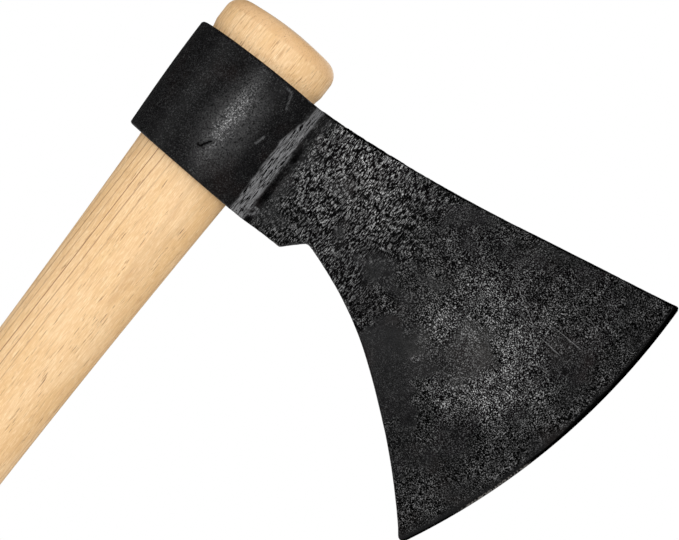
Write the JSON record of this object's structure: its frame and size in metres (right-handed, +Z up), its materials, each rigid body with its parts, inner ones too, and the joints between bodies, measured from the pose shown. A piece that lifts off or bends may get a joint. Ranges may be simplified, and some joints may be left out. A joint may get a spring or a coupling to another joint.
{
  "type": "hatchet",
  "caption": "Slip-fit hatchet: a forged fan-bladed head with a round eye socket on a tapered oval wooden haft that goes in from the top.",
  "frame": {"origin": "centre of the haft's flat butt face", "axes": "+Z up along the haft towards the head, +X towards the cutting edge, XZ plane through the middle of the blade"},
  "size_m": [0.2076, 0.045, 0.5144],
  "materials": {
    "black_steel": "semi-gloss black over a pitted forged surface",
    "hickory": "sanded, clear satin coat"
  },
  "bodies": {
    "head": {"head": "black_steel"},
    "haft": {"haft": "hickory"}
  },
  "joints": [
    {"name": "haft_slide", "type": "slide", "parent": "head", "child": "haft", "axis": [0, 0, 1], "range_m": [0, 0.5]}
  ]
}
